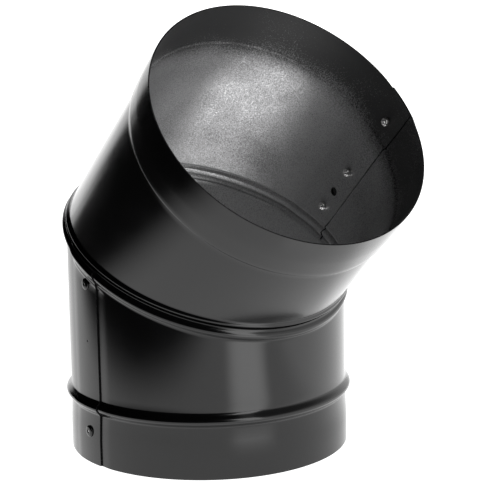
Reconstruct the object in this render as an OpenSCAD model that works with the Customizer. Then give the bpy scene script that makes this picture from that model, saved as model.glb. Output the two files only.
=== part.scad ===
// Flue elbow: two mitred gores of single-wall sheet steel, joined at a fixed angle by a nested
// bead seam. Each gore is a sheet rolled to a tube and closed by a riveted side lap.
// The origin is the middle of the bottom rim. +Z runs up the lower leg and the bend leans to +X.

/* [Elbow] */
// Outside diameter of the pipe wall
pipe_d = 152; // [120:1:200]
// Angle between the axes of the two legs
bend_angle = 45; // [20:1:50]
// Bottom rim to the middle of the mitre, along the lower axis
lower_leg = 110; // [100:1:180]
// Middle of the mitre to the mouth, along the upper axis
upper_leg = 110; // [100:1:180]
// Thickness of the sheet
sheet_t = 0.7; // [0.5:0.1:0.9]

/* [Inlet spigot] */
// How much wider than the pipe wall the spigot's straight end is, per side
spigot_flare = 0.6; // [0.3:0.1:1]
// Length of the straight stretch at the bottom rim
spigot_straight = 14; // [8:0.5:14]
// Height of the stop bead's middle above the rim
stop_bead_z = 32; // [26:1:38]
// Width of the stop bead along the pipe
stop_bead_w = 9; // [6:0.5:11]
// How far the stop bead stands out of the wall
stop_bead_rise = 2.8; // [1.5:0.1:3.5]

/* [Outlet socket] */
// Play between a spigot and the socket, per side
socket_play = 0.4; // [0.2:0.1:0.6]
// Length of the straight stretch inside the mouth
socket_straight = 14.5; // [8:0.5:14.5]
// Depth of the socket, from the mouth to the end of the step
socket_depth = 29.5; // [26:0.5:34]
// Length of the step where the wall widens into the socket
step_len = 1.6; // [1:0.1:3]
// How far the wall has widened at the top of the step
step_rise = 1.1; // [0.8:0.1:1.2]

/* [Mitre seam] */
// How far the upper gore's bead stands out of the wall, inside the lower gore's lip
inner_bead_rise = 1.35; // [1:0.05:1.8]
// Reach of each gore's bead away from the mitre, along the wall
bead_reach = 5.5; // [5:0.5:8]
// Width of each level that a bead steps up by
level_w = 1.1; // [0.8:0.1:1.4]
// Height of the solid shoulder where the lower gore's bead meets the mitre
shoulder_h = 1; // [0.6:0.1:1.4]
// Reach of the lower gore's lip past the mitre, over the upper gore's bead
lip_reach = 3.2; // [2:0.1:3.6]
// Gap between the two beads, at the mitre and under the lip
seam_gap = 0.1; // [0.05:0.05:0.2]

/* [Side laps] */
// Azimuth of the middle of the lower gore's lap
lower_lap_at = -92; // [-120:1:-60]
// Azimuth of the middle of the upper gore's lap, about its own axis
upper_lap_at = 92; // [60:1:120]
// Overlap of the two flaps along the wall
lap_w = 20; // [14:1:30]
// Gap between the two flaps
lap_gap = 0.1; // [0.05:0.05:0.2]
// How far the flap on the fitting side leaves the round of the wall
near_flap_shift = 0.28; // [0.2:0.02:0.34]
// Width of the short stretch where the sheet steps out to a flap
joggle_w = 1.2; // [0.8:0.1:2]
// Distance between a flap's free edge and the step beside it
edge_gap = 0.4; // [0.2:0.1:0.8]
// Diameter of the open pilot hole in the upper gore's inner flap
pilot_d = 5; // [3:0.5:6]
// Pilot hole's distance from the middle of the mitre, along the upper axis
pilot_z = 29.5; // [26:0.5:34]

/* [Rivets] */
// Diameter of the rivet's body
rivet_d = 3.2; // [2.4:0.1:4]
// Diameter of the domed head
head_d = 6.4; // [5:0.1:8]
// Height of the domed head
head_h = 1; // [0.7:0.1:1.4]
// Diameter of the swollen tail inside the duct
tail_d = 4.5; // [4.2:0.1:5.5]
// Length of the swollen tail
tail_h = 2.1; // [1.6:0.1:3]
// Diameter of the broken stem left in the rivet
stem_d = 1.8; // [1.4:0.1:2]
// Clearance between a rivet and its hole, and between the stem and the rivet
rivet_play = 0.05; // [0.03:0.01:0.1]
// Lower gore: upper rivet's distance below the middle of the mitre
lower_rivet_drop = 11; // [10:0.5:20]
// Lower gore: collar rivet's height above the rim
collar_rivet_z = 17.5; // [17.5:0.5:22]
// Upper gore: first rivet's distance from the middle of the mitre
upper_rivet_z = 16.2; // [14:0.1:18]
// Upper gore: middle rivet's distance from the middle of the mitre
middle_rivet_z = 47.7; // [40:0.1:60]
// Upper gore: mouth rivet's distance from the mouth
mouth_rivet_drop = 17.3; // [17.2:0.1:20]

/* [Hidden] */
$fn = 144;
pipe_r = pipe_d / 2;
spigot_r = pipe_r + spigot_flare;
mouth_r = spigot_r + socket_play + sheet_t;
mitre_tilt = bend_angle / 2;
mitre_slope = tan(mitre_tilt);
outer_bead_rise = inner_bead_rise + seam_gap + sheet_t;
far_flap_shift = sheet_t + lap_gap - near_flap_shift;
step_z = upper_leg - socket_depth;
bead_steps = 14;
outer_levels = 3;
inner_levels = 2;
// A wall ends this far inside its bead
root_overlap = 0.3;
// A bead's root is set back from the wall's inside by this much
root_inset = 0.05;
// The lip starts this far below the mitre, inside the shoulder, and this far in from its edge
lip_root = 0.1;
lip_inset = 0.15;
// Longer than any leg, so that a wall always reaches past the mitre
run_out = pipe_r * mitre_slope + bead_reach;
beyond = 2 * (pipe_d + lower_leg + upper_leg);
lap_angle = degrees_along(lap_w);
joggle_angle = degrees_along(joggle_w);
edge_angle = degrees_along(edge_gap);
hole_r = rivet_d / 2 + rivet_play;
// A flat seat stays this far clear of the curved wall
seat_gap = 0.06;
// A cut runs this far past what it cuts
slack = 1;
// Thickness of the rivet head's edge, and the rounding of its tail's corners
head_edge_h = 0.3;
tail_round = 0.5;
dome_steps = 6;
// The stem's broken end lies this far below the crown of the rivet's head
stem_sunk = 0.4;
// The stem's own head, drawn into the tail
stem_head_r = 1.4;
stem_head_h = 1;
stem_chamfer = 0.4;
steel_black = [0.09, 0.09, 0.1];
bare_steel = [0.62, 0.62, 0.64];

// One rivet: name, leg, azimuth, distance along that leg's own axis,
// radius of the wall under its head, radius of the wall over its tail
lower_out = near_flap_shift;
lower_in = -sheet_t - far_flap_shift;
upper_out = far_flap_shift;
upper_in = -sheet_t - near_flap_shift;
rivets = [
    ["lower_joint", "lower", lower_lap_at, lower_leg - lower_rivet_drop,
        pipe_r + lower_out, pipe_r + lower_in],
    ["lower_collar", "lower", lower_lap_at, collar_rivet_z,
        spigot_r + lower_out, spigot_bore(collar_rivet_z + tail_d / 2) + lower_in],
    ["upper_joint", "upper", upper_lap_at, upper_rivet_z,
        pipe_r + upper_out, pipe_r + upper_in],
    ["upper_middle", "upper", upper_lap_at, middle_rivet_z,
        pipe_r + upper_out, pipe_r + upper_in],
    ["upper_mouth", "upper", upper_lap_at, upper_leg - mouth_rivet_drop,
        mouth_r + upper_out, socket_wall(upper_leg - mouth_rivet_drop - tail_d / 2) + upper_in]
];

// Angle that a length along the wall takes up, in degrees
function degrees_along(length) = length / pipe_r * 180 / PI;

function reversed(list) = [for (i = [len(list) - 1:-1:0]) list[i]];

// Radius of the spigot's outside where it tapers back towards the stop bead
function spigot_bore(z) =
    let (taper_end = stop_bead_z - stop_bead_w / 2)
    spigot_r - spigot_flare * (z - spigot_straight) / (taper_end - spigot_straight);

// Radius of the socket's outside between its step and its straight stretch
function socket_wall(z) =
    let (taper_len = socket_depth - step_len - socket_straight)
    let (start = pipe_r + step_rise)
    start + (mouth_r - start) * (z - step_z - step_len) / taper_len;

// One side of the stop bead, set back from its outside by depth
function stop_bead(depth) = [
    for (i = [0:bead_steps])
        let (turn = 360 * i / bead_steps)
        let (slope = stop_bead_rise * PI / stop_bead_w * sin(turn))
        let (reach = sqrt(1 + slope * slope))
        [
            pipe_r + stop_bead_rise * (1 - cos(turn)) / 2 - depth / reach,
            stop_bead_z + stop_bead_w * (i / bead_steps - 0.5) + depth * slope / reach
        ]
];

// One side of the lower gore's sheet, from the rim up past the mitre
function lower_side(depth) = concat(
    [[spigot_r - depth, 0], [spigot_r - depth, spigot_straight]],
    stop_bead(depth),
    [[pipe_r - depth, lower_leg + run_out]]
);

// One side of the upper gore's sheet, from past the mitre to the mouth
function upper_side(depth) = [
    [pipe_r - depth, -run_out],
    [pipe_r - depth, step_z],
    [pipe_r + step_rise - depth, step_z + step_len],
    [mouth_r - depth, upper_leg - socket_straight],
    [mouth_r - depth, upper_leg]
];

// A bead rises in equal levels. Each one is [distance from the mitre, height above the wall].
function levels(rise, count) = [
    for (i = [0:count - 1]) [bead_reach - i * level_w, rise * (i + 1) / count]
];

// Places the upper leg's own frame: origin in the middle of the mitre, +Z out of the mouth
module on_upper_axis() {
    translate([0, 0, lower_leg])
        rotate([0, bend_angle, 0])
            children();
}

// A round bar about the lower axis, cut by two planes along the mitre at these distances below it
module mitred_bar(radius, near, far) {
    intersection() {
        translate([0, 0, -beyond / 2])
            cylinder(r = radius, h = beyond);
        rotate([0, mitre_tilt, 0])
            translate([0, 0, -(near + far) / 2])
                cube([beyond, beyond, far - near], center = true);
    }
}

// A bead on a gore's own side of the mitre, as a stepped ring one sheet thick that grows out
// of the wall. It ends near the mitre, and its hollow ends at hollow_near.
module bead(steps, near, hollow_near) {
    difference() {
        for (step = steps)
            mitred_bar(pipe_r + step[1], near, step[0]);
        mitred_bar(pipe_r - sheet_t + root_inset, near - slack, bead_reach + slack);
        for (step = steps)
            mitred_bar(pipe_r + step[1] - sheet_t, hollow_near, step[0] - sheet_t);
    }
}

// The lower gore's lip, which grows out of its bead's shoulder and rides over the upper gore's bead
module lip() {
    crest = pipe_r + outer_bead_rise;
    difference() {
        mitred_bar(crest - lip_inset, -lip_root, lip_reach);
        mitred_bar(crest - sheet_t, -slack, lip_reach + slack);
    }
}

// Places what is made for the lower leg's side of the mitre
module below_mitre() {
    translate([0, 0, lower_leg])
        children();
}

// Places the same on the upper leg's side, as its mirror image through the mitre
module above_mitre() {
    on_upper_axis()
        mirror([0, 0, 1])
            children();
}

// Everything on one side of the plane that lies above the mitre's plane by offset
module half_space(offset, side) {
    translate([0, 0, lower_leg])
        rotate([0, mitre_tilt, 0])
            translate([0, 0, offset + side * beyond / 2])
                cube(beyond, center = true);
}

// Part of a round sheet between two azimuths, moved in or out by shift
module arc_sheet(outside, inside, from, to, shift) {
    rotate([0, 0, from])
        rotate_extrude(angle = to - from)
            translate([shift, 0])
                polygon(concat(outside, reversed(inside)));
}

// A sheet rolled to a tube with its edges lapped. The round of the sheet stops on both sides of
// the lap, and each flap starts inside the sheet's end, which makes the joggle, and ends free.
module rolled_sheet(outside, inside, middle, out_shift, in_shift) {
    first = middle - lap_angle / 2;
    last = middle + lap_angle / 2;
    arc_sheet(outside, inside, last, first + 360, 0);
    arc_sheet(outside, inside, first - joggle_angle, last - edge_angle, out_shift);
    arc_sheet(outside, inside, first + edge_angle, last + joggle_angle, -in_shift);
}

// A radial hole or shaft seat: local +Z points out of the wall, from the axis
module radially(azimuth, z) {
    rotate([0, 0, azimuth])
        translate([0, 0, z])
            rotate([0, 90, 0])
                children();
}

module rivet_holes(leg) {
    for (spot = rivets)
        if (spot[1] == leg)
            radially(spot[2], spot[3])
                translate([0, 0, pipe_r / 2])
                    cylinder(r = hole_r, h = pipe_r);
}

module lower_gore() {
    color(steel_black) {
        difference() {
            rolled_sheet(
                lower_side(0), lower_side(sheet_t), lower_lap_at,
                near_flap_shift, far_flap_shift
            );
            half_space(root_overlap - bead_reach, 1);
            rivet_holes("lower");
        }
        below_mitre()
            bead(levels(outer_bead_rise, outer_levels), 0, shoulder_h);
        above_mitre()
            lip();
    }
}

module upper_gore() {
    pilot_depth = pipe_r + upper_in + sheet_t + lap_gap / 2;
    color(steel_black) {
        difference() {
            on_upper_axis()
                difference() {
                    rolled_sheet(
                        upper_side(0), upper_side(sheet_t), upper_lap_at,
                        far_flap_shift, near_flap_shift
                    );
                    rivet_holes("upper");
                    radially(upper_lap_at, pilot_z)
                        translate([0, 0, pipe_r / 2])
                            cylinder(d = pilot_d, h = pilot_depth - pipe_r / 2);
                }
            half_space(bead_reach - root_overlap, -1);
        }
        above_mitre()
            bead(levels(inner_bead_rise, inner_levels), seam_gap, 0);
    }
}

// Places a rivet spot's own frame: +Z out of the wall, origin on the leg's axis
module at_spot(spot) {
    if (spot[1] == "lower")
        radially(spot[2], spot[3])
            children();
    else
        on_upper_axis()
            radially(spot[2], spot[3])
                children();
}

// Blind rivet: domed head outside, body through both flaps, swollen tail inside
module rivet(spot) {
    seat = spot[4];
    tail_top = spot[5] - seat_gap;
    tail_end = tail_top - tail_h;
    bore_r = stem_d / 2 + rivet_play;
    dome = [
        for (i = [0:dome_steps])
            let (turn = 90 * i / dome_steps)
            [
                bore_r + (head_d / 2 - bore_r) * cos(turn),
                seat + head_edge_h + (head_h - head_edge_h) * sin(turn)
            ]
    ];
    outline = concat(
        [[head_d / 2, seat]],
        dome,
        [
            [bore_r, tail_end + tail_round],
            [bore_r + tail_round, tail_end],
            [tail_d / 2 - tail_round, tail_end],
            [tail_d / 2, tail_end + tail_round],
            [tail_d / 2, tail_top - tail_round],
            [tail_d / 2 - tail_round, tail_top],
            [rivet_d / 2, tail_top],
            [rivet_d / 2, seat]
        ]
    );
    color(steel_black)
        at_spot(spot)
            rotate_extrude()
                polygon(outline);
}

// Broken stem of the rivet: a pin through the body with its head drawn into the tail
module stem(spot) {
    top = spot[4] + head_h - stem_sunk;
    tail_end = spot[5] - seat_gap - tail_h;
    end = tail_end - stem_head_h;
    stem_r = stem_d / 2;
    outline = [
        [0, top],
        [stem_r, top],
        [stem_r, tail_end - rivet_play],
        [stem_head_r, tail_end - rivet_play],
        [stem_head_r, end + stem_chamfer],
        [stem_head_r - stem_chamfer, end],
        [0, end]
    ];
    color(bare_steel)
        at_spot(spot)
            rotate_extrude()
                polygon(outline);
}

lower_gore();
upper_gore();
for (spot = rivets) {
    rivet(spot);
    stem(spot);
}
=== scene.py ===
import math

import bmesh
import bpy
from mathutils import Matrix, Vector


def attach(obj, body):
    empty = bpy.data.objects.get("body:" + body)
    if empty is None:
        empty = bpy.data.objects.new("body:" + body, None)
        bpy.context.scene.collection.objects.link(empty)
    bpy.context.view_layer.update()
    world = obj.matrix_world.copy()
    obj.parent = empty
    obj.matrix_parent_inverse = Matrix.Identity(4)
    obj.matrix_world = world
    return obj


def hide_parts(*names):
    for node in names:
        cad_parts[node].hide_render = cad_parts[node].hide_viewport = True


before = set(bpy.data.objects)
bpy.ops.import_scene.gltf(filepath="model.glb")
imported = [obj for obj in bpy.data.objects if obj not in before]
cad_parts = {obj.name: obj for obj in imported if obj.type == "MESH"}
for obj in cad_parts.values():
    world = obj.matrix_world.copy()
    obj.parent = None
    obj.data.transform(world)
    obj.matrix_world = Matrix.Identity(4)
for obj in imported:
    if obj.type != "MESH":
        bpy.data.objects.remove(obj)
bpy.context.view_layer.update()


# The lower gore: one sheet of 0.7 mm steel, cut on a slant, rolled to a tube and lapped at the
# side. The spigot flare, the stop bead and the mitre seam's outer bead are rolled into it. Its lap
# is drilled for two rivets and has a punch mark. Satin black outside, oversprayed steel inside.
LEG = 0.110
PIPE_R = 0.076
SHEET = 0.0007
SEAM_GAP = 0.0001
SPIGOT_FLARE = 0.0006
SPIGOT_STRAIGHT = 0.014
STOP_BEAD_Z = 0.032
STOP_BEAD_HALF_W = 0.0045
STOP_BEAD_RISE = 0.0028
OUTER_BEAD_AT = 0.0020
OUTER_BEAD_HALF_W = 0.0050
OUTER_BEAD_RISE = 0.00215
LIP_REACH = 0.0013
SEAM_BLEND = 0.0020
SEAM_TUCK = SHEET + 0.00005
RIM_ROW = 0.0004
LOWER_WALL_FROM = 0.040
LOWER_WALL_END = 0.0095
LAP_W = 0.020
FLAP_CELLS = 14
JOGGLE_W = 0.008
EDGE_GAP = 0.0004
NEAR_SHIFT = 0.00028
FAR_SHIFT = 0.00052
RIVET_HOLE_R = 0.00165
DRILL_REACH = 0.004
LOWER_LAP_AT = math.radians(-92)
LOWER_JOINT_RIVET_Z = 0.099
COLLAR_RIVET_Z = 0.0175
PUNCH_Z = 0.0677
PUNCH_R = 0.0007
PUNCH_FLOOR = 0.0001
PUNCH_TOP = 0.001
LOWER_CLEAR_Z = 0.100
LOWER_BLACK_Z = 0.040
mitre_tilt = math.radians(45) / 2
mitre_middle = Vector((0, 0, LEG))
mitre_normal = Vector((math.sin(mitre_tilt), 0, math.cos(mitre_tilt)))
spigot_r = PIPE_R + SPIGOT_FLARE
taper_end = STOP_BEAD_Z - STOP_BEAD_HALF_W


def across_mitre(point):
    """The mirror image of a point through the plane of the mitre."""
    return point - mitre_normal * (2 * (point - mitre_middle).dot(mitre_normal))


def soft_step(x):
    """A step from 0 to 1 with a soft start and end."""
    x = min(max(x, 0), 1)
    return x * x * (3 - 2 * x)


def spread(start, end, count):
    """Evenly spread values from start to end, both included."""
    return [start + (end - start) * i / count for i in range(count + 1)]


def bead_point(rise, half_w, away, depth):
    """Radius and place of a rounded bead's outside, at a distance from its crest, or set in."""
    turn = math.pi * away / half_w
    slope = -rise / 2 * math.pi / half_w * math.sin(turn)
    reach = math.hypot(1, slope)
    height = PIPE_R + rise * (1 + math.cos(turn)) / 2
    return height - depth / reach, away + depth * slope / reach


def level(radius, along, lean=0.0, past=False, seam=0.0):
    """One level of a sheet's section. It holds the outside's and the inside's radius and distance
    from the mitre, how far it leans with the mitre, whether it lies past the mitre, and how much
    it belongs to the seam."""
    return (radius, along), (radius - SHEET, along), lean, past, seam


def bead_levels(rise, half_w, crest_at, aways, lean, past, seam):
    """The levels of a rounded bead whose crest lies at a distance from the mitre."""
    made = []
    for away in aways:
        out_r, out_at = bead_point(rise, half_w, away, 0)
        in_r, in_at = bead_point(rise, half_w, away, SHEET)
        made.append(((out_r, crest_at + out_at), (in_r, crest_at + in_at), lean, past, seam))
    return made


def leaning_wall(start, end):
    """The plain wall, whose levels turn from square to the pipe to parallel with the mitre."""
    made = [level(PIPE_R, start + (end - start) * share, share) for share in spread(0, 1, 16)[:-1]]
    made += [level(PIPE_R, end, 1.0, False, 0.0)]
    return made


def into_seam(start):
    """The last of the plain wall, where the lap's offsets turn into the seam's."""
    return [
        level(PIPE_R, start - SEAM_BLEND * share, 1.0, False, soft_step(share))
        for share in spread(0, 1, 4)[1:]
    ]


def rolled_sheet(name, levels, lap_middle, lap_shifts, seam_shifts, upper, inside_steel):
    """A sheet rolled to a tube with its edges lapped, as a closed shell one sheet thick."""
    first = lap_middle - LAP_W / 2 / PIPE_R
    last = lap_middle + LAP_W / 2 / PIPE_R
    joggle = JOGGLE_W / PIPE_R
    edge = EDGE_GAP / PIPE_R
    around = 2 * math.pi
    turns = (
        spread(first + edge, last, FLAP_CELLS)[:-1]
        + spread(last, last + joggle, 10)[:-1]
        + spread(last + joggle, first + around - joggle, 270)[:-1]
        + spread(first + around - joggle, first + around, 10)[:-1]
        + spread(first + around, last + around - edge, FLAP_CELLS)
    )
    verts = []
    for side in (0, 1):
        for row in levels:
            radius, along = row[side]
            lean, past, seam = row[2:]
            out_shift, in_shift = (a + (b - a) * seam for a, b in zip(lap_shifts, seam_shifts))
            for turn in turns:
                inner = 1 - soft_step((turn - last) / joggle)
                outer = soft_step((turn - first - around + joggle) / joggle)
                r = radius + inner * in_shift + outer * out_shift
                slant = lean * r * math.cos(turn) * math.tan(mitre_tilt)
                point = Vector((r * math.cos(turn), r * math.sin(turn), LEG - along - slant))
                verts.append(across_mitre(point) if upper != past else point)

    wide, high = len(turns), len(levels)
    covered = wide - 1 - FLAP_CELLS
    back = wide * high
    faces, slots = [], []

    def add(corners, slot):
        faces.append(corners[::-1] if upper else corners)
        slots.append(slot)

    for j in range(high - 1):
        for i in range(wide - 1):
            a = j * wide + i
            b = back + a
            add((a, a + 1, a + wide + 1, a + wide), 0)
            # Painted shade: the covered inner face of the outer flap takes satin black, for the
            # dark gap between the flaps that shows through the pilot hole.
            add((b, b + wide, b + wide + 1, b + 1), 0 if i >= covered else 1)
        a = j * wide
        b = a + wide - 1
        add((a, a + wide, back + a + wide, back + a), 2)
        add((b, back + b, back + b + wide, b + wide), 2)
    for i in range(wide - 1):
        a = i
        b = (high - 1) * wide + i
        add((a, back + a, back + a + 1, a + 1), 2)
        add((b, b + 1, back + b + 1, back + b), 2)

    mesh = bpy.data.meshes.new(name)
    mesh.from_pydata(verts, [], faces)
    for material in (satin_black, inside_steel, edge_paint):
        mesh.materials.append(material)
    mesh.polygons.foreach_set("material_index", slots)
    mesh.polygons.foreach_set("use_smooth", [True] * len(faces))
    piece = bpy.data.objects.new(name, mesh)
    bpy.context.scene.collection.objects.link(piece)
    return piece


def on_lower_leg(turn, along, radius):
    """A frame on the lower leg's wall: +Z out of the wall, at a height above the rim."""
    out = Vector((math.cos(turn), math.sin(turn), 0))
    side = Vector((-math.sin(turn), math.cos(turn), 0))
    up = out.cross(side)
    place = out * radius + Vector((0, 0, along))
    return Matrix((
        (side.x, up.x, out.x, place.x),
        (side.y, up.y, out.y, place.y),
        (side.z, up.z, out.z, place.z),
        (0, 0, 0, 1),
    ))


def drilled(piece, drills):
    """Cuts round holes through a piece. Each drill is a frame, a radius, a start and an end."""
    cutter_mesh = bpy.data.meshes.new("drills")
    cutter_bm = bmesh.new()
    for place, radius, start, end in drills:
        reach = Matrix.Translation((0, 0, (start + end) / 2))
        bmesh.ops.create_cone(
            cutter_bm, cap_ends=True, segments=40, radius1=radius, radius2=radius,
            depth=end - start, matrix=place @ reach,
        )
    cutter_bm.to_mesh(cutter_mesh)
    cutter_bm.free()
    cutter_mesh.materials.append(edge_paint)
    cutter = bpy.data.objects.new("drills", cutter_mesh)
    bpy.context.scene.collection.objects.link(cutter)
    cut = piece.modifiers.new("holes", "BOOLEAN")
    cut.operation = "DIFFERENCE"
    cut.solver = "EXACT"
    cut.object = cutter
    cut.material_mode = "TRANSFER"
    bpy.context.view_layer.update()
    solid = piece.evaluated_get(bpy.context.evaluated_depsgraph_get())
    mesh = bpy.data.meshes.new_from_object(solid)
    piece.modifiers.clear()
    piece.data = mesh
    mesh.set_sharp_from_angle(angle=math.radians(50))
    bpy.data.objects.remove(cutter)


def grain_group():
    """A shader group that gives painted sheet its grain: fine peel, soft clouds and specks."""
    group = bpy.data.node_groups.new("paint grain", "ShaderNodeTree")
    for name, value in (("Peel size", 700.0), ("Speck size", 1500.0), ("Speck share", 0.2)):
        socket = group.interface.new_socket(name, in_out="INPUT", socket_type="NodeSocketFloat")
        socket.default_value = value
    for name in ("Height", "Clouds", "Specks"):
        group.interface.new_socket(name, in_out="OUTPUT", socket_type="NodeSocketFloat")
    nodes, links = group.nodes, group.links
    given = nodes.new("NodeGroupInput")
    out = nodes.new("NodeGroupOutput")
    place = nodes.new("ShaderNodeTexCoord")

    peel = nodes.new("ShaderNodeTexNoise")
    peel.inputs["Detail"].default_value = 3.0
    links.new(place.outputs["Object"], peel.inputs["Vector"])
    links.new(given.outputs["Peel size"], peel.inputs["Scale"])
    links.new(peel.outputs["Fac"], out.inputs["Height"])

    clouds = nodes.new("ShaderNodeTexNoise")
    clouds.inputs["Scale"].default_value = 22.0
    clouds.inputs["Detail"].default_value = 5.0
    clouds.inputs["Roughness"].default_value = 0.6
    links.new(place.outputs["Object"], clouds.inputs["Vector"])
    soften = nodes.new("ShaderNodeMapRange")
    soften.inputs["From Min"].default_value = 0.35
    soften.inputs["From Max"].default_value = 0.7
    links.new(clouds.outputs["Fac"], soften.inputs["Value"])
    links.new(soften.outputs["Result"], out.inputs["Clouds"])

    specks = nodes.new("ShaderNodeTexNoise")
    specks.inputs["Detail"].default_value = 1.0
    links.new(place.outputs["Object"], specks.inputs["Vector"])
    links.new(given.outputs["Speck size"], specks.inputs["Scale"])
    pick = nodes.new("ShaderNodeMath")
    pick.operation = "ADD"
    links.new(specks.outputs["Fac"], pick.inputs[0])
    links.new(given.outputs["Speck share"], pick.inputs[1])
    sharpen = nodes.new("ShaderNodeMapRange")
    sharpen.inputs["From Min"].default_value = 0.85
    sharpen.inputs["From Max"].default_value = 1.0
    links.new(pick.outputs["Value"], sharpen.inputs["Value"])
    links.new(sharpen.outputs["Result"], out.inputs["Specks"])
    return group


paint_grain = grain_group()


def stove_paint(name, dark, light, smooth, dull, peel_depth, speck_size, speck_share):
    """Black stove paint: a black shade with paler specks, and gloss that varies in clouds."""
    material = bpy.data.materials.new(name)
    material.use_nodes = True
    nodes, links = material.node_tree.nodes, material.node_tree.links
    surface = nodes["Principled BSDF"]
    surface.inputs["IOR"].default_value = 1.5

    grain = nodes.new("ShaderNodeGroup")
    grain.node_tree = paint_grain
    grain.inputs["Speck size"].default_value = speck_size
    grain.inputs["Speck share"].default_value = speck_share

    shade = nodes.new("ShaderNodeMix")
    shade.data_type = "RGBA"
    shade.inputs["A"].default_value = (*dark, 1)
    shade.inputs["B"].default_value = (*light, 1)
    links.new(grain.outputs["Specks"], shade.inputs["Factor"])
    links.new(shade.outputs["Result"], surface.inputs["Base Color"])

    gloss = nodes.new("ShaderNodeMapRange")
    gloss.inputs["To Min"].default_value = smooth
    gloss.inputs["To Max"].default_value = dull
    links.new(grain.outputs["Clouds"], gloss.inputs["Value"])
    links.new(gloss.outputs["Result"], surface.inputs["Roughness"])

    bump = nodes.new("ShaderNodeBump")
    bump.inputs["Strength"].default_value = 0.35
    bump.inputs["Distance"].default_value = peel_depth
    links.new(grain.outputs["Height"], bump.inputs["Height"])
    links.new(bump.outputs["Normal"], surface.inputs["Normal"])
    return material


satin_black = stove_paint(
    "satin black", (0.002, 0.002, 0.0022), (0.008, 0.008, 0.0085),
    0.12, 0.19, 0.000015, 1500.0, 0.22,
)
edge_paint = stove_paint(
    "thin paint on cut edges", (0.004, 0.004, 0.0045), (0.03, 0.03, 0.03),
    0.22, 0.32, 0.00003, 900.0, 0.25,
)


def overspray_group():
    """A shader group that gives how far black overspray covers the steel, and its fine grain."""
    group = bpy.data.node_groups.new("overspray", "ShaderNodeTree")
    for name, kind in (("Axis", "Vector"), ("Clear at", "Float"), ("Black at", "Float")):
        group.interface.new_socket(name, in_out="INPUT", socket_type=f"NodeSocket{kind}")
    for name in ("Cover", "Grain"):
        group.interface.new_socket(name, in_out="OUTPUT", socket_type="NodeSocketFloat")
    nodes, links = group.nodes, group.links
    given = nodes.new("NodeGroupInput")
    out = nodes.new("NodeGroupOutput")

    place = nodes.new("ShaderNodeTexCoord")
    along = nodes.new("ShaderNodeVectorMath")
    along.operation = "DOT_PRODUCT"
    links.new(place.outputs["Object"], along.inputs[0])
    links.new(given.outputs["Axis"], along.inputs[1])
    near_end = nodes.new("ShaderNodeMapRange")
    near_end.interpolation_type = "SMOOTHSTEP"
    links.new(given.outputs["Clear at"], near_end.inputs["From Min"])
    links.new(given.outputs["Black at"], near_end.inputs["From Max"])
    links.new(along.outputs["Value"], near_end.inputs["Value"])

    drift = nodes.new("ShaderNodeTexNoise")
    drift.inputs["Scale"].default_value = 14.0
    drift.inputs["Detail"].default_value = 4.0
    links.new(place.outputs["Object"], drift.inputs["Vector"])
    specks = nodes.new("ShaderNodeTexNoise")
    specks.inputs["Scale"].default_value = 1500.0
    specks.inputs["Detail"].default_value = 3.0
    links.new(place.outputs["Object"], specks.inputs["Vector"])
    links.new(specks.outputs["Fac"], out.inputs["Grain"])

    thick = nodes.new("ShaderNodeMath")
    thick.operation = "MULTIPLY_ADD"
    thick.inputs[1].default_value = 0.55
    links.new(near_end.outputs["Result"], thick.inputs[0])
    links.new(drift.outputs["Fac"], thick.inputs[2])
    dust = nodes.new("ShaderNodeMath")
    dust.operation = "ADD"
    links.new(thick.outputs["Value"], dust.inputs[0])
    links.new(specks.outputs["Fac"], dust.inputs[1])
    cover = nodes.new("ShaderNodeMapRange")
    cover.inputs["From Min"].default_value = 0.76
    cover.inputs["From Max"].default_value = 1.42
    links.new(dust.outputs["Value"], cover.inputs["Value"])
    links.new(cover.outputs["Result"], out.inputs["Cover"])
    return group


overspray = overspray_group()


def oversprayed_steel(name, axis, clear_at, black_at):
    """Bare steel dusted with black: specks deep inside, full paint near the sheet's open end."""
    material = bpy.data.materials.new(name)
    material.use_nodes = True
    nodes, links = material.node_tree.nodes, material.node_tree.links
    surface = nodes["Principled BSDF"]

    dusting = nodes.new("ShaderNodeGroup")
    dusting.node_tree = overspray
    dusting.inputs["Axis"].default_value = axis
    dusting.inputs["Clear at"].default_value = clear_at
    dusting.inputs["Black at"].default_value = black_at

    shade = nodes.new("ShaderNodeMix")
    shade.data_type = "RGBA"
    shade.inputs["A"].default_value = (0.42, 0.42, 0.425, 1)
    shade.inputs["B"].default_value = (0.006, 0.006, 0.0065, 1)
    links.new(dusting.outputs["Cover"], shade.inputs["Factor"])
    links.new(shade.outputs["Result"], surface.inputs["Base Color"])
    bare = nodes.new("ShaderNodeMath")
    bare.operation = "SUBTRACT"
    bare.inputs[0].default_value = 1.0
    links.new(dusting.outputs["Cover"], bare.inputs[1])
    links.new(bare.outputs["Value"], surface.inputs["Metallic"])
    gloss = nodes.new("ShaderNodeMapRange")
    gloss.inputs["To Min"].default_value = 0.27
    gloss.inputs["To Max"].default_value = 0.5
    links.new(dusting.outputs["Cover"], gloss.inputs["Value"])
    links.new(gloss.outputs["Result"], surface.inputs["Roughness"])
    bump = nodes.new("ShaderNodeBump")
    bump.inputs["Strength"].default_value = 0.12
    bump.inputs["Distance"].default_value = 0.00002
    links.new(dusting.outputs["Grain"], bump.inputs["Height"])
    links.new(bump.outputs["Normal"], surface.inputs["Normal"])
    return material


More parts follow.
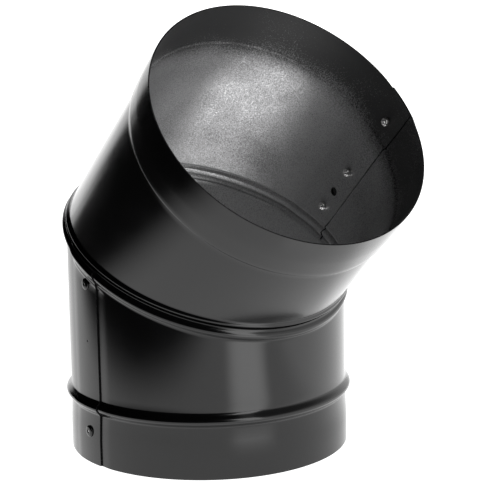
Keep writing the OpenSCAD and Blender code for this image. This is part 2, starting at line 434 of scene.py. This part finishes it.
lower_levels = [
    level(spigot_r, LEG - z) for z in (0, RIM_ROW, SPIGOT_STRAIGHT / 2, SPIGOT_STRAIGHT)
]
lower_levels.append(level(PIPE_R + SPIGOT_FLARE / 2, LEG - (SPIGOT_STRAIGHT + taper_end) / 2))
lower_levels += bead_levels(
    STOP_BEAD_RISE, STOP_BEAD_HALF_W, LEG - STOP_BEAD_Z,
    spread(STOP_BEAD_HALF_W, -STOP_BEAD_HALF_W, 24), 0.0, False, 0.0,
)
lower_levels += leaning_wall(LEG - LOWER_WALL_FROM, LOWER_WALL_END)
lower_levels += into_seam(LOWER_WALL_END)
lower_levels += bead_levels(
    OUTER_BEAD_RISE, OUTER_BEAD_HALF_W, OUTER_BEAD_AT,
    spread(OUTER_BEAD_HALF_W, -OUTER_BEAD_AT, 18), 1.0, False, 1.0,
)
lip_r = PIPE_R + SEAM_GAP + SHEET
for past_mitre in spread(0, LIP_REACH, 8)[1:]:
    bead_r = bead_point(OUTER_BEAD_RISE, OUTER_BEAD_HALF_W, OUTER_BEAD_AT + past_mitre, 0)[0]
    lower_levels.append(level(max(bead_r, lip_r), past_mitre, 1.0, True, 1.0))

lower_inside = oversprayed_steel(
    "overspray in the lower gore", (0, 0, -1), -LOWER_CLEAR_Z, -LOWER_BLACK_Z
)
lower_gore = rolled_sheet(
    "lower_gore_sheet", lower_levels, LOWER_LAP_AT, (NEAR_SHIFT, -FAR_SHIFT),
    (SEAM_TUCK, 0.0), False, lower_inside,
)
lower_spots = [
    on_lower_leg(LOWER_LAP_AT, LOWER_JOINT_RIVET_Z, PIPE_R),
    on_lower_leg(LOWER_LAP_AT, COLLAR_RIVET_Z, spigot_r),
]
drills = [(spot, RIVET_HOLE_R, -DRILL_REACH, DRILL_REACH) for spot in lower_spots]
drills.append((
    on_lower_leg(LOWER_LAP_AT, PUNCH_Z, PIPE_R), PUNCH_R, PUNCH_FLOOR, PUNCH_TOP
))
drilled(lower_gore, drills)
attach(lower_gore, "root")
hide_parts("lower_gore")


# The upper gore: a second sheet, rolled and lapped the same way but on the other side. Its edge
# is tucked into the lower gore's bead, a smaller bead of its own stands just above the lip, and
# its mouth is stepped out to a socket. An open pilot hole is left in the lap's inner flap.
SOCKET_DEPTH = 0.0295
SOCKET_STRAIGHT = 0.0145
SOCKET_PLAY = 0.0004
STEP_LEN = 0.0016
STEP_RISE = 0.0011
INNER_BEAD_AT = 0.0039
INNER_BEAD_HALF_W = 0.0025
INNER_BEAD_RISE = 0.0013
TUCK_RISE = 0.00122
TUCK_HALF_W = 0.0019
TUCK_START = -0.0012
TUCK_NECK_AT = 0.0006
UPPER_WALL_END = 0.0090
STEP_CLEAR = 0.003
PILOT_R = 0.0025
PILOT_Z = 0.0295
PILOT_END = -0.00022
MOUTH_CLEAR = 0.045
MOUTH_BLACK = 0.018
UPPER_LAP_AT = math.radians(92)
UPPER_JOINT_RIVET_Z = 0.0162
MIDDLE_RIVET_Z = 0.0477
MOUTH_RIVET_Z = LEG - 0.0173
mouth_r = spigot_r + SOCKET_PLAY + SHEET
step_foot = LEG - SOCKET_DEPTH
step_top = step_foot + STEP_LEN
upper_axis = Vector((math.sin(2 * mitre_tilt), 0, math.cos(2 * mitre_tilt)))


def on_upper_leg(turn, along, radius):
    """A frame on the upper leg's wall: +Z out of the wall, at a distance from the mitre."""
    lean = Matrix.Translation(mitre_middle) @ Matrix.Rotation(2 * mitre_tilt, 4, "Y")
    return lean @ on_lower_leg(turn, along, radius)


def socket_r(along):
    """The socket's outside between the step and the straight stretch at the mouth."""
    share = (along - step_top) / (LEG - SOCKET_STRAIGHT - step_top)
    return PIPE_R + STEP_RISE + (mouth_r - PIPE_R - STEP_RISE) * share


upper_levels = [
    level(mouth_r, LEG - z) for z in (0, RIM_ROW, SOCKET_STRAIGHT / 2, SOCKET_STRAIGHT)
]
upper_levels += [
    level(socket_r(along), along) for along in spread(LEG - SOCKET_STRAIGHT, step_top, 5)[1:]
]
upper_levels += [
    level(PIPE_R + STEP_RISE * (1 - soft_step(share)), step_top - STEP_LEN * share)
    for share in spread(0, 1, 10)[1:]
]
upper_levels += leaning_wall(step_foot - STEP_CLEAR, UPPER_WALL_END)
upper_levels += into_seam(UPPER_WALL_END)
upper_levels += bead_levels(
    INNER_BEAD_RISE, INNER_BEAD_HALF_W, INNER_BEAD_AT,
    spread(INNER_BEAD_HALF_W, -INNER_BEAD_HALF_W, 16), 1.0, False, 1.0,
)
upper_levels.append(level(PIPE_R, TUCK_NECK_AT, 1.0, False, 1.0))
upper_levels += bead_levels(
    TUCK_RISE, TUCK_HALF_W, OUTER_BEAD_AT,
    spread(TUCK_START, TUCK_HALF_W, 12), 1.0, True, 1.0,
)

mouth_at = mitre_middle.dot(upper_axis) + LEG
upper_inside = oversprayed_steel(
    "overspray in the upper gore", upper_axis, mouth_at - MOUTH_CLEAR, mouth_at - MOUTH_BLACK
)
upper_gore = rolled_sheet(
    "upper_gore_sheet", upper_levels, UPPER_LAP_AT, (FAR_SHIFT, -NEAR_SHIFT),
    (0.0, -SEAM_TUCK), True, upper_inside,
)
upper_spots = [
    on_upper_leg(UPPER_LAP_AT, UPPER_JOINT_RIVET_Z, PIPE_R),
    on_upper_leg(UPPER_LAP_AT, MIDDLE_RIVET_Z, PIPE_R),
    on_upper_leg(UPPER_LAP_AT, MOUTH_RIVET_Z, mouth_r),
]
drills = [(spot, RIVET_HOLE_R, -DRILL_REACH, DRILL_REACH) for spot in upper_spots]
drills.append((
    on_upper_leg(UPPER_LAP_AT, PILOT_Z, PIPE_R), PILOT_R, -DRILL_REACH, PILOT_END
))
drilled(upper_gore, drills)
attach(upper_gore, "root")
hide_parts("upper_gore")


# The five blind rivets: drawn steel, set through both flaps of a lap. Their domed heads were
# painted with the sheet outside; the swollen tails inside stay bare.
HEAD_R = 0.0032
HEAD_H = 0.0010
HEAD_EDGE_H = 0.0003
BORE_R = 0.00095
SHANK_R = 0.0016
TAIL_R = 0.00225
TAIL_H = 0.0021
TAIL_ROUND = 0.0005
SEAT_GAP = 0.00006


def turned(name, outline, slots, place, materials):
    """A turned piece: an outline of (radius, height) points spun once about its own axis."""
    segments = 40
    verts, faces, slot_of = [], [], []
    for radius, height in outline:
        for i in range(segments):
            turn = 2 * math.pi * i / segments
            verts.append(place @ Vector((radius * math.cos(turn), radius * math.sin(turn), height)))
    rings = len(outline)
    for j in range(rings):
        a = j * segments
        b = (j + 1) % rings * segments
        for i in range(segments):
            k = (i + 1) % segments
            faces.append((a + i, a + k, b + k, b + i))
            slot_of.append(slots[j])
    mesh = bpy.data.meshes.new(name)
    mesh.from_pydata(verts, [], faces)
    for material in materials:
        mesh.materials.append(material)
    mesh.polygons.foreach_set("material_index", slot_of)
    mesh.polygons.foreach_set("use_smooth", [True] * len(faces))
    bm = bmesh.new()
    bm.from_mesh(mesh)
    bmesh.ops.remove_doubles(bm, verts=bm.verts, dist=0.000001)
    bmesh.ops.recalc_face_normals(bm, faces=bm.faces)
    bm.to_mesh(mesh)
    bm.free()
    mesh.set_sharp_from_angle(angle=math.radians(40))
    piece = bpy.data.objects.new(name, mesh)
    bpy.context.scene.collection.objects.link(piece)
    return piece


bare_steel = bpy.data.materials.new("bare drawn steel")
bare_steel.use_nodes = True
steel_nodes, steel_links = bare_steel.node_tree.nodes, bare_steel.node_tree.links
steel_surface = steel_nodes["Principled BSDF"]
steel_surface.inputs["Metallic"].default_value = 1.0
steel_place = steel_nodes.new("ShaderNodeTexCoord")
steel_noise = steel_nodes.new("ShaderNodeTexNoise")
steel_noise.inputs["Scale"].default_value = 1200.0
steel_links.new(steel_place.outputs["Object"], steel_noise.inputs["Vector"])
steel_shade = steel_nodes.new("ShaderNodeMix")
steel_shade.data_type = "RGBA"
steel_shade.inputs["A"].default_value = (0.55, 0.55, 0.56, 1)
steel_shade.inputs["B"].default_value = (0.82, 0.81, 0.79, 1)
steel_links.new(steel_noise.outputs["Fac"], steel_shade.inputs["Factor"])
steel_links.new(steel_shade.outputs["Result"], steel_surface.inputs["Base Color"])
steel_gloss = steel_nodes.new("ShaderNodeMapRange")
steel_gloss.inputs["To Min"].default_value = 0.22
steel_gloss.inputs["To Max"].default_value = 0.45
steel_links.new(steel_noise.outputs["Fac"], steel_gloss.inputs["Value"])
steel_links.new(steel_gloss.outputs["Result"], steel_surface.inputs["Roughness"])

spigot_taper_r = spigot_r - SPIGOT_FLARE * (
    (COLLAR_RIVET_Z + TAIL_R - SPIGOT_STRAIGHT) / (taper_end - SPIGOT_STRAIGHT)
)
lower_seat = PIPE_R + NEAR_SHIFT
lower_tail = PIPE_R - SHEET - FAR_SHIFT - SEAT_GAP
upper_seat = PIPE_R + FAR_SHIFT
upper_tail = PIPE_R - SHEET - NEAR_SHIFT - SEAT_GAP
rivet_spots = {
    "lower_joint": (on_lower_leg, LOWER_LAP_AT, LOWER_JOINT_RIVET_Z, lower_seat, lower_tail),
    "lower_collar": (
        on_lower_leg, LOWER_LAP_AT, COLLAR_RIVET_Z, spigot_r + NEAR_SHIFT,
        spigot_taper_r - SHEET - FAR_SHIFT - SEAT_GAP,
    ),
    "upper_joint": (on_upper_leg, UPPER_LAP_AT, UPPER_JOINT_RIVET_Z, upper_seat, upper_tail),
    "upper_middle": (on_upper_leg, UPPER_LAP_AT, MIDDLE_RIVET_Z, upper_seat, upper_tail),
    "upper_mouth": (
        on_upper_leg, UPPER_LAP_AT, MOUTH_RIVET_Z, mouth_r + FAR_SHIFT,
        socket_r(MOUTH_RIVET_Z - TAIL_R) - SHEET - NEAR_SHIFT - SEAT_GAP,
    ),
}
for name, (leg, turn, along, seat, tail_top) in rivet_spots.items():
    tail_start = tail_top - seat
    tail_end = tail_start - TAIL_H
    outline = [(HEAD_R - 0.00005, 0.0), (HEAD_R, 0.00006), (HEAD_R, HEAD_EDGE_H - 0.0001)]
    outline += [
        (BORE_R + 0.0001 + (HEAD_R - BORE_R - 0.00015) * math.cos(rise),
         HEAD_EDGE_H + (HEAD_H - HEAD_EDGE_H) * math.sin(rise))
        for rise in spread(0, math.pi / 2, 10)
    ]
    outline += [(BORE_R, HEAD_H - 0.00008)]
    painted = len(outline)
    outline += [(BORE_R, tail_end + TAIL_ROUND), (BORE_R + TAIL_ROUND, tail_end)]
    outline += [
        (TAIL_R - TAIL_ROUND * (1 - math.sin(bend)), tail_end + TAIL_ROUND * (1 - math.cos(bend)))
        for bend in spread(0, math.pi / 2, 5)
    ]
    outline += [
        (TAIL_R - TAIL_ROUND * (1 - math.cos(bend)), tail_start - TAIL_ROUND * (1 - math.sin(bend)))
        for bend in spread(0, math.pi / 2, 5)
    ]
    outline += [(SHANK_R, tail_start), (SHANK_R, 0.0)]
    slots = [0] * painted + [1] * (len(outline) - painted)
    slots[-1] = 0
    rivet = turned(
        f"rivet_{name}_body", outline, slots, leg(turn, along, seat), (satin_black, bare_steel)
    )
    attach(rivet, "root")
    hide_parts(f"rivet_{name}")


# The five stems: the pulled mandrels that stay in the rivets, bare drawn steel. Each was drawn
# into the tail by its own head and snapped off below the crown of the rivet's head.
STEM_R = 0.0009
STEM_HEAD_R = 0.0014
STEM_HEAD_H = 0.0010
STEM_CHAMFER = 0.0004
STEM_SUNK = 0.0004
for name, (leg, turn, along, seat, tail_top) in rivet_spots.items():
    tail_end = tail_top - seat - TAIL_H
    end = tail_end - STEM_HEAD_H
    snapped = HEAD_H - STEM_SUNK
    outline = [
        (0.00001, snapped - 0.00012), (STEM_R * 0.45, snapped), (STEM_R * 0.8, snapped - 0.00006),
        (STEM_R, snapped - 0.0002), (STEM_R, tail_end - 0.00005),
        (STEM_HEAD_R, tail_end - 0.00005), (STEM_HEAD_R, end + STEM_CHAMFER),
        (STEM_HEAD_R - STEM_CHAMFER / 3, end + STEM_CHAMFER / 3),
        (STEM_HEAD_R - STEM_CHAMFER, end), (0.00001, end),
    ]
    stem = turned(
        f"stem_{name}_pin", outline, [0] * len(outline), leg(turn, along, seat), (bare_steel,)
    )
    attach(stem, "root")
    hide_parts(f"stem_{name}")


# The studio: a light table that runs back under the elbow to a white wall. Its glow is raised
# under the elbow and by the wall as painted light, and the soft box's pool of light on the table
# is painted into the glow as a gleam. The front of the room is dark, but for one tall soft box to
# the right. The camera itself sees table and wall as plain white.
FLOOR_HALF_W = 6.0
TABLE_GLOW = 1.25
PAINTED_GLEAM_AT = math.radians(-7)


def fade(nodes, links, value, start, end, low, high):
    """A value turned into a soft step from low to high between start and end."""
    step = nodes.new("ShaderNodeMapRange")
    step.interpolation_type = "SMOOTHSTEP"
    step.inputs["From Min"].default_value = start
    step.inputs["From Max"].default_value = end
    step.inputs["To Min"].default_value = low
    step.inputs["To Max"].default_value = high
    links.new(value, step.inputs["Value"])
    return step.outputs["Result"]


def joined(nodes, links, operation, first, second):
    """Two values joined by one step of arithmetic."""
    node = nodes.new("ShaderNodeMath")
    node.operation = operation
    links.new(first, node.inputs[0])
    links.new(second, node.inputs[1])
    return node.outputs["Value"]


floor_mesh = bpy.data.meshes.new("floor")
floor_mesh.from_pydata(
    [(x * FLOOR_HALF_W, y * FLOOR_HALF_W, 0) for x, y in ((-1, -1), (1, -1), (1, 1), (-1, 1))],
    [], [(0, 1, 2, 3)],
)
floor = bpy.data.objects.new("floor", floor_mesh)
bpy.context.scene.collection.objects.link(floor)
table = bpy.data.materials.new("light table with painted pools of light")
table.use_nodes = True
nodes, links = table.node_tree.nodes, table.node_tree.links
surface = nodes["Principled BSDF"]
surface.inputs["Base Color"].default_value = (0.05, 0.05, 0.05, 1)
surface.inputs["Roughness"].default_value = 0.9
surface.inputs["Specular IOR Level"].default_value = 0.0
surface.inputs["Emission Color"].default_value = (1, 1, 1, 1)
place = nodes.new("ShaderNodeTexCoord")
split = nodes.new("ShaderNodeSeparateXYZ")
links.new(place.outputs["Object"], split.inputs["Vector"])
table_glow = fade(nodes, links, split.outputs["Y"], -0.32, -0.17, 0.0, TABLE_GLOW)
distance = nodes.new("ShaderNodeVectorMath")
distance.operation = "LENGTH"
links.new(place.outputs["Object"], distance.inputs[0])
bearing = nodes.new("ShaderNodeVectorMath")
bearing.operation = "NORMALIZE"
links.new(place.outputs["Object"], bearing.inputs[0])
toward_box = nodes.new("ShaderNodeVectorMath")
toward_box.operation = "DOT_PRODUCT"
toward_box.inputs[1].default_value = (math.cos(PAINTED_GLEAM_AT), math.sin(PAINTED_GLEAM_AT), 0)
links.new(bearing.outputs["Vector"], toward_box.inputs[0])
# Painted light: the soft box's pool of light on the table, painted into the table's glow.
painted_gleam = fade(
    nodes, links, toward_box.outputs["Value"],
    math.cos(math.radians(17)), math.cos(math.radians(4)), 0.0, 1.9,
)
past_elbow = fade(nodes, links, distance.outputs["Value"], 0.11, 0.22, 0.0, 1.0)
painted_gleam = joined(nodes, links, "MULTIPLY", painted_gleam, past_elbow)
glow = joined(nodes, links, "ADD", table_glow, painted_gleam)
# Painted light: the table glows brighter right under the elbow, which lights the inside of the
# tube.
painted_glow_under_elbow = fade(nodes, links, distance.outputs["Value"], 0.045, 0.080, 1.4, 0.0)
glow = joined(nodes, links, "ADD", glow, painted_glow_under_elbow)
# Painted light: the table glows brighter by the wall.
painted_glow_near_wall = fade(nodes, links, split.outputs["Y"], 0.08, 0.16, 0.0, 0.5)
glow = joined(nodes, links, "ADD", glow, painted_glow_near_wall)
rays = nodes.new("ShaderNodeLightPath")
glow = joined(nodes, links, "MAXIMUM", glow, rays.outputs["Is Camera Ray"])
links.new(glow, surface.inputs["Emission Strength"])
floor_mesh.materials.append(table)

room = bpy.data.worlds.new("room")
bpy.context.scene.world = room
room.use_nodes = True
nodes, links = room.node_tree.nodes, room.node_tree.links
place = nodes.new("ShaderNodeTexCoord")
split = nodes.new("ShaderNodeSeparateXYZ")
links.new(place.outputs["Generated"], split.inputs["Vector"])
wall = fade(nodes, links, split.outputs["Y"], -0.02, 0.14, 0.0, 1.25)
wall_top = fade(nodes, links, split.outputs["Z"], 0.2, 0.7, 1.0, 0.12)
glow = joined(nodes, links, "MULTIPLY", wall, wall_top)
rays = nodes.new("ShaderNodeLightPath")
glow = joined(nodes, links, "MAXIMUM", glow, rays.outputs["Is Camera Ray"])
links.new(glow, nodes["Background"].inputs["Strength"])
nodes["Background"].inputs["Color"].default_value = (1, 1, 1, 1)

BOX_PLACE = Vector((1.25, -0.05, 0.72))
BOX_W = 0.42
BOX_H = 1.3
soft_box_data = bpy.data.lights.new("tall_soft_box", "AREA")
soft_box_data.shape = "RECTANGLE"
soft_box_data.size = BOX_W
soft_box_data.size_y = BOX_H
soft_box_data.energy = 3.4 * math.pi * BOX_W * BOX_H
soft_box = bpy.data.objects.new("tall_soft_box", soft_box_data)
soft_box.location = BOX_PLACE
soft_box.rotation_euler = (mitre_middle - BOX_PLACE).to_track_quat("-Z", "Y").to_euler()
bpy.context.scene.collection.objects.link(soft_box)


# The camera: a long lens a little above the elbow, facing the gap between its mouth and its lap.
CAMERA_AZIMUTH = math.radians(54.483)
CAMERA_HEIGHT = math.radians(12.728)
CAMERA_ROLL = math.radians(-1.096)
CAMERA_DISTANCE = 1.126919
camera_target = Vector((0.025767, 0.002943, 0.109048))
back = Vector((
    math.sin(CAMERA_AZIMUTH) * math.cos(CAMERA_HEIGHT),
    -math.cos(CAMERA_AZIMUTH) * math.cos(CAMERA_HEIGHT),
    math.sin(CAMERA_HEIGHT),
))
flat_right = Vector((math.cos(CAMERA_AZIMUTH), math.sin(CAMERA_AZIMUTH), 0))
flat_up = back.cross(flat_right)
right = flat_right * math.cos(CAMERA_ROLL) + flat_up * math.sin(CAMERA_ROLL)
up = flat_up * math.cos(CAMERA_ROLL) - flat_right * math.sin(CAMERA_ROLL)
spot = camera_target + back * CAMERA_DISTANCE
camera_data = bpy.data.cameras.new("camera")
camera_data.sensor_width = 36.0
camera_data.lens = 153.77
camera_data.shift_x = 0.0136
camera_data.shift_y = 0.0188
camera = bpy.data.objects.new("camera", camera_data)
camera.matrix_world = Matrix((
    (right.x, up.x, back.x, spot.x),
    (right.y, up.y, back.y, spot.y),
    (right.z, up.z, back.z, spot.z),
    (0, 0, 0, 1),
))
bpy.context.scene.collection.objects.link(camera)
bpy.context.scene.camera = camera
bpy.context.scene.view_settings.view_transform = "Standard"
